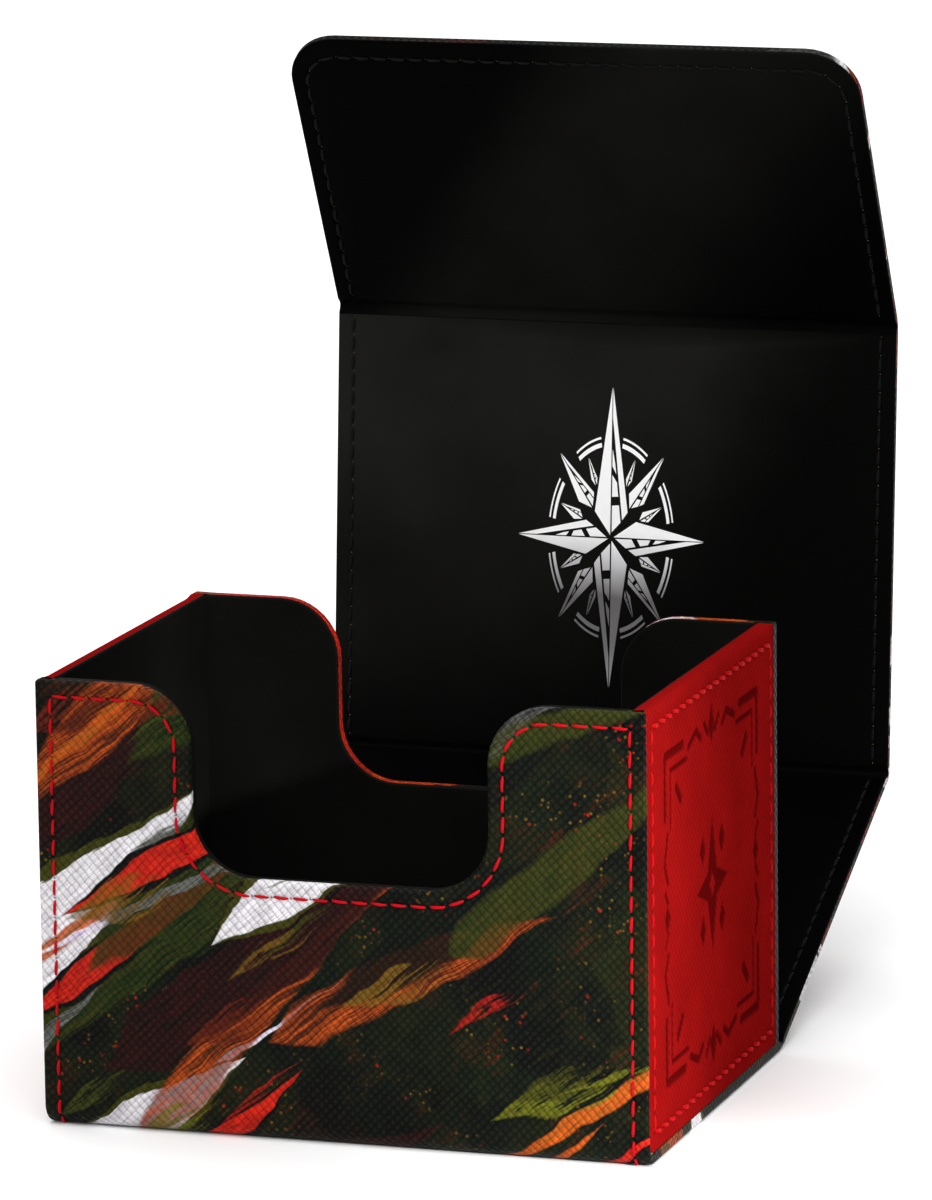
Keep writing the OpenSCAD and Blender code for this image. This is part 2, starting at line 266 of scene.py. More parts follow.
def build_sheet(name, paths, rim, place, material, seams=(), rows=(), step=3.0, wrap=lambda s: s,
                flip=False, press=None, fine=None, painted_sheen=None):
    """A sheet whose edges turn over at its paths. rim(path) gives each point's turned depth and
    rounding, press(points) says how far each is pressed in, from 0 to 1, on the extra points in fine,
    wrap(s) is the art's coordinate, and painted_sheen(x, s) lightens a lining's colour, from 0 to 1."""
    points, laid_out, faces, loop = [], [], [], []
    for path in paths:
        depth, radius = rim(path)
        # Each ring is (inset, height, how far along the sheet it lies beyond the last ring).
        rings = [(np.zeros(len(path)), -depth, RIM_SUPPORT + radius * (math.pi / 2 - 1) + depth)]
        rings += [(radius * (1 - math.cos(a)), -radius * (1 - math.sin(a)),
                   RIM_SUPPORT + radius * (math.pi / 2 - a)) for a in RIM_ANGLES]
        rings += [(radius + RIM_SUPPORT, np.zeros(len(path)), np.zeros(len(path)))]
        first, n = len(points), len(path)
        for inset, h, beyond in rings:
            at = path[:, :2] + path[:, 2:] * inset[:, None]
            points += np.column_stack([at, h]).tolist()
            laid = path[:, :2] + path[:, 2:] * (radius + RIM_SUPPORT - beyond)[:, None]
            laid_out += laid.tolist()
        for k in range(len(rings) - 1):
            for i in range(n - 1):
                a, b = first + k * n + i, first + (k + 1) * n + i
                faces.append([a, b, b + 1, a + 1])
        loop += range(first + (len(rings) - 1) * n, first + len(rings) * n)
    edge = np.array([points[i][:2] for i in loop])
    lo, hi = edge.min(axis=0), edge.max(axis=0)
    seam_points = [s.mesh_points() for s in seams]
    inner = np.concatenate(seam_points) if seam_points else np.zeros((0, 2))
    inner = inner[nearest(inner, edge) > 0.12] if len(inner) else inner
    if len(rows):
        levels = np.array(rows)
    else:
        levels = np.linspace(lo[1], hi[1], max(2, round((hi[1] - lo[1]) / step)) + 1)[1:-1]
    across = np.linspace(lo[0], hi[0], max(2, round((hi[0] - lo[0]) / step)) + 1)[1:-1]
    grid = np.array([[x, s] for s in levels for x in across])
    if fine is not None:
        grid = np.concatenate([grid, fine])
    keep = (nearest(grid, edge) > 0.2) & (nearest(grid, inner) > 0.15)
    inner = np.concatenate([inner, grid[keep]])
    flat_points = np.concatenate([edge, inner])
    ring = [(i, (i + 1) % len(edge)) for i in range(len(edge))]
    out, _, triangles, origin, _, _ = delaunay_2d_cdt(
        [Vector(p) for p in flat_points.tolist()], ring, [], 1, 1e-5
    )
    index = []
    for co, from_points in zip(out, origin):
        on_ring = [i for i in from_points if i < len(edge)]
        if on_ring:
            index.append(loop[on_ring[0]])
        else:
            index.append(len(points))
            points.append([co[0], co[1], 0.0])
            laid_out.append([co[0], co[1]])
    faces += [[index[i] for i in t] for t in triangles]
    points = np.array(points)
    holes = np.zeros(len(points))
    face_points = np.unique(np.array(index))
    at = points[face_points, :2]
    if seams:
        line = np.concatenate([s.at(np.arange(0, s.length + 0.4, 0.4)) for s in seams])
        dots = np.concatenate([s.holes() for s in seams])
        points[face_points, 2] -= GROOVE_DEPTH * np.exp(-((nearest(at, line) / GROOVE_WIDTH) ** 2))
        hole = np.clip(1 - nearest(at, dots) / HOLE_R, 0, 1)
        points[face_points, 2] -= HOLE_DEPTH * hole
        holes[face_points] = hole
    pressed = np.zeros(len(points))
    if press is not None:
        pressed[face_points] = press(at)
        points[face_points, 2] -= PRESS_DEPTH * pressed[face_points]
    laid_out = np.array(laid_out)
    flat = np.column_stack([laid_out[:, 0], wrap(laid_out[:, 1]), points[:, 2]])
    marks = {"hole": holes, "pressed": pressed}
    if painted_sheen is not None:
        marks["painted_sheen"] = np.clip(painted_sheen(laid_out[:, 0], laid_out[:, 1]), 0, 1)
    return make_mesh(name, points, flat, faces, place, material, flip, marks)


# ---------------------------------------------------------------- thread

STITCH_LEN = 2.85
THREAD_HALF_W = 0.3
THREAD_HALF_H = 0.2
THREAD_SIDES = 10
THREAD_SECTIONS = np.linspace(-1, 1, 11)


def build_thread(name, seams, place, material, flip=False, slant=0.08, rise=0.08, fat=1.0):
    """Real stitches: each one swells from its needle holes and lies half sunk in the groove."""
    points, flat, faces = [], [], []
    angles = np.linspace(0, 2 * math.pi, THREAD_SIDES, endpoint=False)
    rng = random.Random(name)
    for seam in seams:
        length = min(STITCH_LEN, seam.pitch - 0.38)
        for i in range(seam.count):
            first = len(points)
            lean = slant + rng.uniform(-0.03, 0.03)
            size = fat * rng.uniform(0.93, 1.06)
            for t in THREAD_SECTIONS:
                along = (i + 0.5) * seam.pitch + t * length / 2
                swell = 1 - 0.62 * abs(t) ** 2.6
                across = THREAD_HALF_W * swell * size * np.cos(angles) + lean * t
                h = rise - 0.42 * abs(t) ** 3.5 + THREAD_HALF_H * swell * size * np.sin(angles)
                at = seam.at(np.full(THREAD_SIDES, along), across)
                points += np.column_stack([at, h]).tolist()
                flat += [[along, a / (2 * math.pi), t] for a in angles]
            for k in range(len(THREAD_SECTIONS) - 1):
                for j in range(THREAD_SIDES):
                    a, b = first + k * THREAD_SIDES + j, first + k * THREAD_SIDES + (j + 1) % THREAD_SIDES
                    faces.append([a, b, b + THREAD_SIDES, a + THREAD_SIDES])
            last = first + (len(THREAD_SECTIONS) - 1) * THREAD_SIDES
            faces.append(list(range(first, first + THREAD_SIDES))[::-1])
            faces.append(list(range(last, last + THREAD_SIDES)))
    return make_mesh(name, np.array(points), np.array(flat), faces, place, material, flip)


# ---------------------------------------------------------------- placing flat points


def stack(x, y, z):
    return np.column_stack(np.broadcast_arrays(x, y, z))


def place_front(x, s, h):
    """The front wall, the fold under it and the base."""
    turn = np.clip((FOLD_R - s) / FOLD_R, 0, math.pi / 2)
    past = np.maximum(FOLD_END - s, 0)
    above = np.maximum(s - FOLD_R, 0)
    y = FOLD_R - HALF_D - (FOLD_R + h) * np.cos(turn) + past
    z = FOLD_R - (FOLD_R + h) * np.sin(turn) + above
    return stack(x, y, z)


def wall_placer(x_way, out, distance):
    """A wall that faces out, at the distance from the box's middle, with x running along x_way."""
    def place(x, s, h):
        return stack(x_way[0] * x + out[0] * (distance + h), x_way[1] * x + out[1] * (distance + h), s)

    return place


place_rear = wall_placer((-1, 0), (0, 1), HALF_D)
place_right = wall_placer((0, 1), (1, 0), HALF_W)
place_left = wall_placer((0, 1), (-1, 0), HALF_W)
place_front_lining = wall_placer((-1, 0), (0, 1), WALL_T - HALF_D)
place_rear_lining = wall_placer((1, 0), (0, -1), WALL_T - HALF_D)
place_right_lining = wall_placer((0, -1), (-1, 0), WALL_T - HALF_W)
place_left_lining = wall_placer((0, 1), (1, 0), WALL_T - HALF_W)


def place_floor(x, s, h):
    return stack(x, s, FLOOR_Z + h)


def lid_half_t(s):
    """Half the lid's thickness, pinched at the fold line where s is 0."""
    return lerp(FOLD_HALF_T, LID_HALF_T, smooth(np.abs(s), 0, BEND_REACH))


def lid_placer(joint, before, after, outside):
    """Bends flat points round a fold line: s is 0 on it, and h points out of the printed face or
    out of the lined one. The panels' angles are before and after the fold."""
    axis = folds[joint]

    def place(x, s, h):
        a = lerp(before, after, smooth(s, -BEND_REACH, BEND_REACH))
        out = (lid_half_t(s) + h) * (-1 if outside else 1)
        y = axis[0] + s * np.cos(a) - out * np.sin(a)
        z = axis[1] + s * np.sin(a) + out * np.cos(a)
        return stack(x, y, z)

    return place


# ---------------------------------------------------------------- node helpers


def srgb(r, g, b):
    """A linear colour from sRGB values of 0 to 255."""
    def linear(v):
        v /= 255
        return v / 12.92 if v <= 0.04045 else ((v + 0.055) / 1.055) ** 2.4

    return (linear(r), linear(g), linear(b), 1.0)


class Tree:
    """Short calls that add nodes to a material or a group. A value is a socket or a constant."""

    def __init__(self, tree):
        self.nodes, self.links = tree.nodes, tree.links

    def put(self, socket, value):
        if isinstance(value, bpy.types.NodeSocket):
            self.links.new(value, socket)
        elif value is not None:
            socket.default_value = value

    def add(self, kind, inputs=None, **settings):
        node = self.nodes.new(kind)
        for key, value in settings.items():
            setattr(node, key, value)
        for key, value in (inputs or {}).items():
            self.put(node.inputs[key], value)
        return node

    def math(self, operation, *values):
        node = self.add("ShaderNodeMath", operation=operation)
        for socket, value in zip(node.inputs, values):
            self.put(socket, value)
        return node.outputs[0]

    def vector(self, operation, *values):
        node = self.add("ShaderNodeVectorMath", operation=operation)
        for socket, value in zip(node.inputs, values):
            self.put(socket, value)
        return node.outputs["Value" if operation in ("DOT_PRODUCT", "LENGTH") else "Vector"]

    def mix(self, factor, a, b, blend="MIX"):
        node = self.add("ShaderNodeMix", data_type="RGBA", blend_type=blend)
        for socket, value in ((node.inputs[0], factor), (node.inputs[6], a), (node.inputs[7], b)):
            self.put(socket, value)
        return node.outputs[2]

    def noise(self, vector, scale, detail=2.0, roughness=0.5, colour=False):
        node = self.add("ShaderNodeTexNoise", {"Vector": vector, "Scale": scale, "Detail": detail,
                                               "Roughness": roughness})
        return node.outputs["Color" if colour else "Fac"]

    def ramp(self, factor, stops, interpolation="LINEAR"):
        node = self.add("ShaderNodeValToRGB", {"Fac": factor})
        node.color_ramp.interpolation = interpolation
        elements = node.color_ramp.elements
        while len(elements) > 1:
            elements.remove(elements[-1])
        elements[0].position, elements[0].color = stops[0]
        for position, colour in stops[1:]:
            elements.new(position).color = colour
        return node.outputs["Color"]

    def span(self, value, lo, hi, to_lo=0.0, to_hi=1.0):
        node = self.add("ShaderNodeMapRange", {"Value": value, "From Min": lo, "From Max": hi,
                                               "To Min": to_lo, "To Max": to_hi})
        return node.outputs["Result"]

    def bump(self, height, distance, strength):
        node = self.add("ShaderNodeBump", {"Height": height, "Distance": distance, "Strength": strength})
        return node.outputs["Normal"]


def new_material(name, roughness, specular=0.5, metallic=0.0):
    """A material's node helper, its shader and the material."""
    material = bpy.data.materials.new(name)
    material.use_nodes = True
    tree = Tree(material.node_tree)
    shader = tree.nodes["Principled BSDF"]
    shader.inputs["Roughness"].default_value = roughness
    shader.inputs["Specular IOR Level"].default_value = specular
    shader.inputs["Metallic"].default_value = metallic
    return tree, shader, material


def flat_point(tree):
    return tree.add("ShaderNodeAttribute", attribute_name="flat_mm").outputs["Vector"]


def point_value(tree, name):
    """A value that the sheet's points carry: hole, pressed or painted_sheen."""
    return tree.add("ShaderNodeAttribute", attribute_name=name).outputs["Fac"]


def pierce(tree, colour, amount, dark):
    """The colour, darkened in the needle holes as painted shade."""
    return tree.mix(tree.math("MULTIPLY", point_value(tree, "hole"), amount), colour, dark)


def finish(tree, shader, colour, normal, roughness=None):
    tree.put(shader.inputs["Base Color"], colour)
    tree.put(shader.inputs["Normal"], normal)
    tree.put(shader.inputs["Roughness"], roughness)


# ---------------------------------------------------------------- saffiano grain

GRAIN_PITCH = 1.1


def grain_group():
    """Cross-hatched diamonds pressed into the leatherette: 1 on their tops and 0 between them."""
    group = bpy.data.node_groups.new("saffiano_grain", "ShaderNodeTree")
    group.interface.new_socket("Point", in_out="INPUT", socket_type="NodeSocketVector")
    group.interface.new_socket("Height", in_out="OUTPUT", socket_type="NodeSocketFloat")
    t = Tree(group)
    point = t.add("NodeGroupInput").outputs["Point"]
    shake = t.vector("SCALE", t.vector("SUBTRACT", t.noise(point, 0.9, 1, colour=True), (0.5, 0.5, 0.5)))
    shake.node.inputs["Scale"].default_value = 0.34
    point = t.vector("ADD", point, shake)
    k = math.pi / GRAIN_PITCH
    lines = []
    for angle, power in ((-0.78, 0.5), (0.72, 0.8)):
        across = t.vector("DOT_PRODUCT", point, (k * math.cos(angle), k * math.sin(angle), 0.0))
        wave = t.math("ABSOLUTE", t.math("SINE", across))
        lines.append(t.math("POWER", wave, power))
    fine = t.noise(point, 3.5, 2)
    height = t.math("MULTIPLY", lines[0], lines[1])
    height = t.math("MULTIPLY_ADD", fine, 0.22, height)
    t.links.new(height, t.add("NodeGroupOutput").inputs["Height"])
    return group


GRAIN = grain_group()


def grain(tree, point):
    node = tree.add("ShaderNodeGroup", node_tree=GRAIN)
    tree.put(node.inputs["Point"], point)
    return node.outputs["Height"]


# ---------------------------------------------------------------- painted print


def stroke_group():
    """How far a point is inside one tapering, bending brush stroke: 1 inside and 0 outside. Along
    and Across turn the point into shares of the length and the half width, Bristle roughens the
    edge by Ragged, and Dry breaks the paint up towards its end."""
    group = bpy.data.node_groups.new("brush_stroke", "ShaderNodeTree")
    for name in ("Point", "Along", "Across"):
        group.interface.new_socket(name, in_out="INPUT", socket_type="NodeSocketVector")
    for name in ("Along start", "Across start", "Bend", "Start taper", "End taper", "Sharpness", "Bristle",
                 "Ragged", "Dry"):
        group.interface.new_socket(name, in_out="INPUT", socket_type="NodeSocketFloat")
    group.interface.new_socket("Inside", in_out="OUTPUT", socket_type="NodeSocketFloat")
    t = Tree(group)
    given = t.add("NodeGroupInput").outputs
    along = t.math("ADD", t.vector("DOT_PRODUCT", given["Point"], given["Along"]), given["Along start"])
    across = t.math("ADD", t.vector("DOT_PRODUCT", given["Point"], given["Across"]), given["Across start"])
    left = t.math("SUBTRACT", 1.0, along)
    arch = t.math("MULTIPLY", along, left)
    across = t.math("ABSOLUTE", t.math("MULTIPLY_ADD", arch, given["Bend"], across))
    # Minimum and maximum stand in for clamping, which fills the shader's stack.
    width = t.math("MULTIPLY", t.math("MINIMUM", t.math("MULTIPLY", along, given["Start taper"]), 1.0),
                   t.math("MINIMUM", t.math("MULTIPLY", left, given["End taper"]), 1.0))
    rough = t.math("MULTIPLY_ADD", given["Bristle"], given["Ragged"], 1.0)
    width = t.math("MULTIPLY", width, rough)
    inside = t.math("MULTIPLY", t.math("SUBTRACT", width, across), given["Sharpness"])
    worn = t.math("MULTIPLY", given["Dry"], t.math("MULTIPLY_ADD", along, 0.9, 0.3))
    wet = t.math("MULTIPLY_ADD", t.math("SUBTRACT", given["Bristle"], worn), 9.0, 3.4)
    inside = t.math("MAXIMUM", t.math("MINIMUM", t.math("MINIMUM", inside, wet), 1.0), 0.0)
    t.links.new(inside, t.add("NodeGroupOutput").inputs["Inside"])
    return group


STROKE = stroke_group()
WOBBLE = 3.0
BRISTLE_SIZE = (26.0, 0.62)
STREAK_SIZE = (17.0, 0.36)
RIM_EXTRA = 1.5


class Painting:
    """Brush strokes laid one over another on a ground colour, in flat mm."""

    def __init__(self, tree, point, sweep):
        self.tree = tree
        self.clean = tree.vector("ADD", point, (0.0, 0.0, 0.0))
        wobble = tree.vector("SUBTRACT", tree.noise(point, 0.11, 2, 0.5, colour=True), (0.5, 0.5, 0.5))
        wobble = tree.vector("SCALE", wobble)
        wobble.node.inputs["Scale"].default_value = WOBBLE
        self.rough = tree.vector("ADD", point, wobble)
        self.bristle = self.bristles(sweep, *BRISTLE_SIZE)
        self.edge = tree.math("SUBTRACT", self.bristle, 0.5)
        self.streak = tree.span(self.bristles(sweep, *STREAK_SIZE), 0.42, 0.66)
        self.colour = None

    def bristles(self, sweep, length, width):
        """Long fine marks along the brush's sweep."""
        laid = self.tree.add("ShaderNodeMapping", {"Vector": self.rough, "Rotation": (0, 0, sweep),
                                                   "Scale": (length, width, 1.0)}, vector_type="TEXTURE")
        return self.tree.noise(laid.outputs["Vector"], 1.0, 3, 0.62)

    def facets(self, scale, turn, patches):
        """Angular patches of paint, long along the brush's sweep."""
        t = self.tree
        laid = t.add("ShaderNodeMapping", {"Vector": self.rough, "Rotation": (0, 0, turn),
                                           "Scale": (1.7, 1.0, 1.0)}, vector_type="TEXTURE")
        cells = t.add("ShaderNodeTexVoronoi", {"Vector": laid.outputs["Vector"], "Scale": scale})
        shade = t.add("ShaderNodeSeparateColor", {"Color": cells.outputs["Color"]}).outputs[0]
        return t.ramp(shade, patches, "CONSTANT")

    def ground(self, patches):
        """Dark paint: two layers of facets, a soft wash and faint bristle marks."""
        t = self.tree
        self.colour = t.mix(0.45, self.facets(0.07, 0.9, patches), self.facets(0.12, 2.1, patches))
        wash = t.noise(self.rough, 0.045, 3, 0.6)
        self.colour = t.mix(t.span(wash, 0.46, 0.7, 0.0, 0.6), self.colour, srgb(28, 32, 7))
        self.colour = t.mix(t.span(wash, 0.52, 0.38, 0.0, 0.9), self.colour, srgb(4, 5, 4))
        self.colour = t.mix(t.span(self.bristle, 0.58, 0.76, 0.0, 0.3), self.colour, srgb(50, 46, 12))
        scumble = t.math("MULTIPLY", t.span(t.noise(self.clean, 0.09, 3, 0.6), 0.52, 0.66),
                         t.span(self.bristle, 0.5, 0.62, 0.0, 0.8))
        self.colour = t.mix(scumble, self.colour, srgb(64, 22, 8))
        # The strokes wait for the ground, or the shader's stack fills with strokes not yet laid.
        wait = t.vector("MULTIPLY", self.colour, (1e-6, 1e-6, 1e-6))
        self.rough = t.vector("ADD", self.rough, wait)
        self.clean = t.vector("ADD", self.clean, wait)

    def splatter(self, colour, scale, size, amount=1.0):
        """Fine drops, only where a soft noise lets them fall."""
        t = self.tree
        drops = t.add("ShaderNodeTexVoronoi", {"Vector": self.clean, "Scale": scale}).outputs["Distance"]
        where = t.span(t.noise(self.clean, 0.08, 2), 0.5, 0.6)
        inside = t.math("MULTIPLY", t.span(drops, size, size * 0.6), t.math("MULTIPLY", where, amount))
        self.colour = t.mix(inside, self.colour, colour)

    def stroke(self, colour, start, end, width, bend=0.0, tapers=(0.2, 0.2), opacity=1.0, dry=0.0,
               soft=0.2, ragged=0.8, shade=None, rim=None):
        """One stroke between two points. width and bend are in mm, and tapers are shares of its
        length. dry from 0 to 1 breaks it into bristle marks, ragged roughens its edge, shade is a
        second colour in fine streaks, and rim is the colour of a thin edge round it."""
        if rim is not None:
            grown = (tapers[0] * 0.8, tapers[1] * 0.8)
            self.stroke(rim, start, end, width + RIM_EXTRA, bend, grown, opacity, dry * 0.6, soft, ragged)
        t = self.tree
        run = math.dist(start, end)
        towards = ((end[0] - start[0]) / run, (end[1] - start[1]) / run)
        along = (towards[0] / run, towards[1] / run, 0.0)
        across = (-towards[1] * 2 / width, towards[0] * 2 / width, 0.0)
        node = t.add("ShaderNodeGroup", {
            "Point": self.rough,
            "Along": along,
            "Across": across,
            "Along start": -(along[0] * start[0] + along[1] * start[1]),
            "Across start": -(across[0] * start[0] + across[1] * start[1]),
            "Bend": -8 * bend / width,
            "Start taper": 1 / max(tapers[0], 0.01),
            "End taper": 1 / max(tapers[1], 0.01),
            "Sharpness": width / 2 / soft,
            "Bristle": self.edge,
            "Ragged": ragged,
            "Dry": dry}, node_tree=STROKE)
        inside = node.outputs["Inside"]
        if opacity < 1:
            inside = t.math("MULTIPLY", inside, opacity)
        self.colour = t.mix(inside, self.colour, colour)
        if shade is not None:
            self.colour = t.mix(t.math("MULTIPLY", inside, self.streak), self.colour, shade)


WHITE = srgb(236, 233, 236)
PALE_GREY = srgb(204, 198, 206)
LILAC = srgb(202, 176, 210)
RED = srgb(206, 36, 18)
DEEP_RED = srgb(160, 22, 14)
ORANGE = srgb(206, 84, 22)
OCHRE = srgb(112, 82, 20)
BROWN = srgb(78, 32, 12)
DARK_BROWN = srgb(44, 20, 12)
MAROON = srgb(44, 9, 10)
BLACK = srgb(6, 8, 6)
OLIVE = srgb(58, 58, 12)
MOSS = srgb(62, 68, 18)
RUST = srgb(96, 30, 12)
LIME = srgb(104, 106, 20)
GREEN = srgb(20, 40, 10)
DARK_GREEN = srgb(7, 16, 7)
DARK_PATCHES = [(0.0, srgb(6, 9, 6)), (0.22, srgb(11, 21, 8)), (0.4, srgb(6, 10, 6)),
                (0.55, srgb(22, 28, 8)), (0.7, srgb(20, 6, 5)), (0.8, srgb(8, 17, 8)),
                (0.92, srgb(32, 34, 8))]
SWEEP = math.radians(38)


def random_strokes(seed, lo, hi, count):
    """Brushwork by a seeded rule, as settings for stroke()."""
    rng = random.Random(seed)
    # Each kind is (colour, width, opacity, soft, dry, shade, rim).
    kinds = [(GREEN, 16, 0.85, 1.2, 0, OLIVE, None), (OLIVE, 7, 0.7, 0.9, 0.05, GREEN, None),
             (WHITE, 11, 1, 0.25, 0.06, PALE_GREY, OLIVE), (MAROON, 13, 0.9, 0.6, 0, BLACK, None),
             (RED, 6, 1, 0.25, 0.03, DEEP_RED, BLACK), (BROWN, 9, 0.8, 0.7, 0.08, ORANGE, None),
             (BLACK, 10, 0.9, 1.0, 0.05, DARK_GREEN, None), (ORANGE, 2.4, 0.9, 0.4, 0.15, OCHRE, None),
             (WHITE, 1.8, 1, 0.2, 0.12, LILAC, None)]
    strokes = []
    for i in range(count):
        colour, width, opacity, soft, dry, shade, rim = kinds[i % len(kinds)]
        x, s = rng.uniform(-90, 24), lo + (hi - lo) * (i + rng.uniform(-2, 2)) / count
        angle = SWEEP + rng.uniform(-0.3, 0.2)
        run = rng.uniform(44, 96)
        strokes.append({
            "colour": colour, "start": (x, s), "end": (x + run * math.cos(angle), s + run * math.sin(angle)),
            "width": width * rng.uniform(0.75, 1.3), "bend": rng.uniform(-3, 3),
            "tapers": (rng.uniform(0.08, 0.4), rng.uniform(0.2, 0.7)), "ragged": 0.35,
            "opacity": opacity, "soft": soft, "dry": dry, "shade": shade, "rim": rim})
    return strokes


def paint_part(p, strokes, lo, hi):
    """The strokes that reach the part of the print between lo and hi."""
    p.ground(DARK_PATCHES)
    for stroke in strokes:
        ends = stroke["start"][1], stroke["end"][1]
        if min(ends) - 8 < hi and max(ends) + 8 > lo:
            p.stroke(**stroke)


def edge_strokes(seed, lo, hi, count):
    """Uneven accents across both side edges, by a seeded rule."""
    rng = random.Random(seed)
    colours = (RED, WHITE, DEEP_RED, BLACK, ORANGE, OLIVE, RED, MAROON)
    strokes = []
    for i in range(count):
        s, side = rng.uniform(lo, hi), 1 if i % 2 else -1
        strokes.append({
            "colour": colours[i % len(colours)], "start": (side * rng.uniform(30, 46), s - side * 6),
            "end": (side * 58, s + side * rng.uniform(1, 7)), "width": rng.uniform(1.5, 5.5),
            "tapers": (0.6, 0.1), "dry": 0.1, "shade": DEEP_RED})
    return strokes


def scumbles(seed, lo, hi, count):
    """Dry touches of thin paint, by a seeded rule."""
    rng = random.Random(seed)
    colours = (MOSS, RUST, OLIVE, LIME, DEEP_RED, OCHRE)
    strokes = []
    for i in range(count):
        x, s = rng.uniform(-50, 50), rng.uniform(lo, hi)
        reach_x, reach_s = rng.uniform(8, 15), rng.uniform(3, 8)
        strokes.append({
            "colour": colours[i % len(colours)], "start": (x - reach_x, s - reach_s),
            "end": (x + reach_x, s + reach_s), "width": rng.uniform(1.5, 8), "bend": 1,
            "tapers": (0.4, 0.5), "opacity": 0.75, "dry": 0.45, "soft": 0.4})
    return strokes


FLAP_END = WRAP_FLAP - FLAP_LEN
# The flap's free edge is dark.
EDGE_BAND = {"colour": BLACK, "start": (-60, FLAP_END), "end": (60, FLAP_END), "width": 9,
             "opacity": 0.93, "soft": 1.5, "shade": DARK_GREEN}
LID_STROKES = [*random_strokes(11, FLAP_END - 30, WRAP_REAR + 10, 66), EDGE_BAND,
               *edge_strokes(3, FLAP_END, WRAP_REAR, 44)]
REAR_STROKES = random_strokes(5, -12, 76, 24)
FRONT_STROKES = random_strokes(49, -84, 84, 54) + scumbles(8, 0, 72, 20)


def paint_front(p):
    """The print on the front wall and under the base."""
    p.ground(DARK_PATCHES)
    p.splatter(OCHRE, 0.75, 0.24, 0.7)
    p.splatter(DEEP_RED, 0.45, 0.16, 0.8)
    for stroke in FRONT_STROKES:
        p.stroke(**stroke)


def paint_rear(p):
    """The rear wall's print, with plain warm and dark paint on the turned rim of its cut-out."""
    paint_part(p, REAR_STROKES, 0, TRAY_H)
    p.stroke(DEEP_RED, (46, 66), (14, 84), 26, tapers=(0.2, 0.3), shade=RED)
    p.stroke(RED, (32, 78), (20, 34), 17, bend=-3, tapers=(0.1, 0.2), shade=BROWN, dry=0.06)
    p.stroke(DEEP_RED, (30, 40), (0, 38), 13, tapers=(0.1, 0.2), shade=ORANGE)
    p.stroke(BLACK, (3, 45), (-22, 38), 12, tapers=(0.2, 0.3), shade=DARK_GREEN)
    p.stroke(WHITE, (-24, 66), (-38, 82), 11, tapers=(0.2, 0.3), dry=0.08, shade=ORANGE)
    p.stroke(ORANGE, (-36, 70), (-50, 82), 7, tapers=(0.2, 0.3), dry=0.08, shade=DARK_BROWN)
    for side in (-1, 1):
        p.stroke(DARK_GREEN, (side * 50.5, -4), (side * 50.5, 71), 7, tapers=(0.05, 0.1), shade=MAROON)


def printed_leatherette(name, paint):
    t, shader, material = new_material(name, 0.5, 0.05)
    point = flat_point(t)
    painting = Painting(t, point, SWEEP)
    paint(painting)
    relief = grain(t, point)
    mottle = t.noise(point, 0.35, 4, 0.65)
    mottle = t.ramp(mottle, [(0.3, (0.62, 0.62, 0.62, 1)), (0.7, (1, 1, 1, 1))])
    colour = t.mix(1.0, painting.colour, mottle, "MULTIPLY")
    # Painted shade darkens the pressed lines into a grey lattice on pale paint, and a painted highlight
    # lightens the tops on dark paint.
    colour = t.mix(t.span(relief, 0.12, 0.62, 0.66, 0.0), colour, t.mix(0.66, colour, srgb(5, 5, 7)))
    colour = t.mix(t.span(relief, 0.55, 1.1, 0.0, 0.014), colour, srgb(150, 150, 130))
    colour = pierce(t, colour, 0.95, srgb(3, 3, 3))
    finish(t, shader, colour, t.bump(relief, 0.00016, 1.0), t.span(relief, 0.0, 1.0, 0.62, 0.42))
    return material


def red_leatherette():
    t, shader, material = new_material("red_leatherette", 0.6, 0.0)
    point = flat_point(t)
    relief = grain(t, point)
    tone = t.noise(point, 0.06, 3, 0.55)
    colour = t.ramp(tone, [(0.3, srgb(116, 11, 11)), (0.7, srgb(132, 14, 13))])
    speck = t.noise(point, 2.2, 2, 0.6)
    colour = t.mix(t.span(speck, 0.55, 0.8, 0.0, 0.35), colour, srgb(92, 4, 5))
    # Painted shade darkens the grain's pressed lines.
    colour = t.mix(t.span(relief, 0.1, 0.6, 0.5, 0.0), colour, srgb(70, 2, 3))
    colour = t.mix(t.math("MULTIPLY", point_value(t, "pressed"), 0.75), colour, srgb(56, 3, 4))
    colour = pierce(t, colour, 0.9, srgb(26, 0, 2))
    finish(t, shader, colour, t.bump(relief, 0.0001, 0.8), t.span(relief, 0.0, 1.0, 0.62, 0.48))
    return material


def black_lining():
    """Smooth black leatherette with a faint pore. A painted sheen lightens its colour softly over a panel.
    """
    t, shader, material = new_material("black_lining", 0.5, 0.01)
    point = flat_point(t)
    tone = t.noise(point, 0.05, 3, 0.5)
    # Painted sheen: the points' painted_sheen value lightens the black towards dark grey.
    colour = t.mix(point_value(t, "painted_sheen"), srgb(2, 2, 2), srgb(30, 30, 28))
    colour = t.mix(t.span(tone, 0.3, 0.7, 0.0, 0.4), colour, srgb(3, 3, 3))
    pores = t.add("ShaderNodeTexVoronoi", {"Vector": point, "Scale": 1.9, "Randomness": 0.9},
                  feature="SMOOTH_F1").outputs["Distance"]
    grain_height = t.math("MULTIPLY_ADD", t.noise(point, 0.8, 4, 0.6), 0.6, pores)
    colour = pierce(t, colour, 0.9, srgb(1, 1, 1))
    finish(t, shader, colour, t.bump(grain_height, 0.00006, 0.5), t.span(tone, 0.3, 0.7, 0.42, 0.56))
    return material


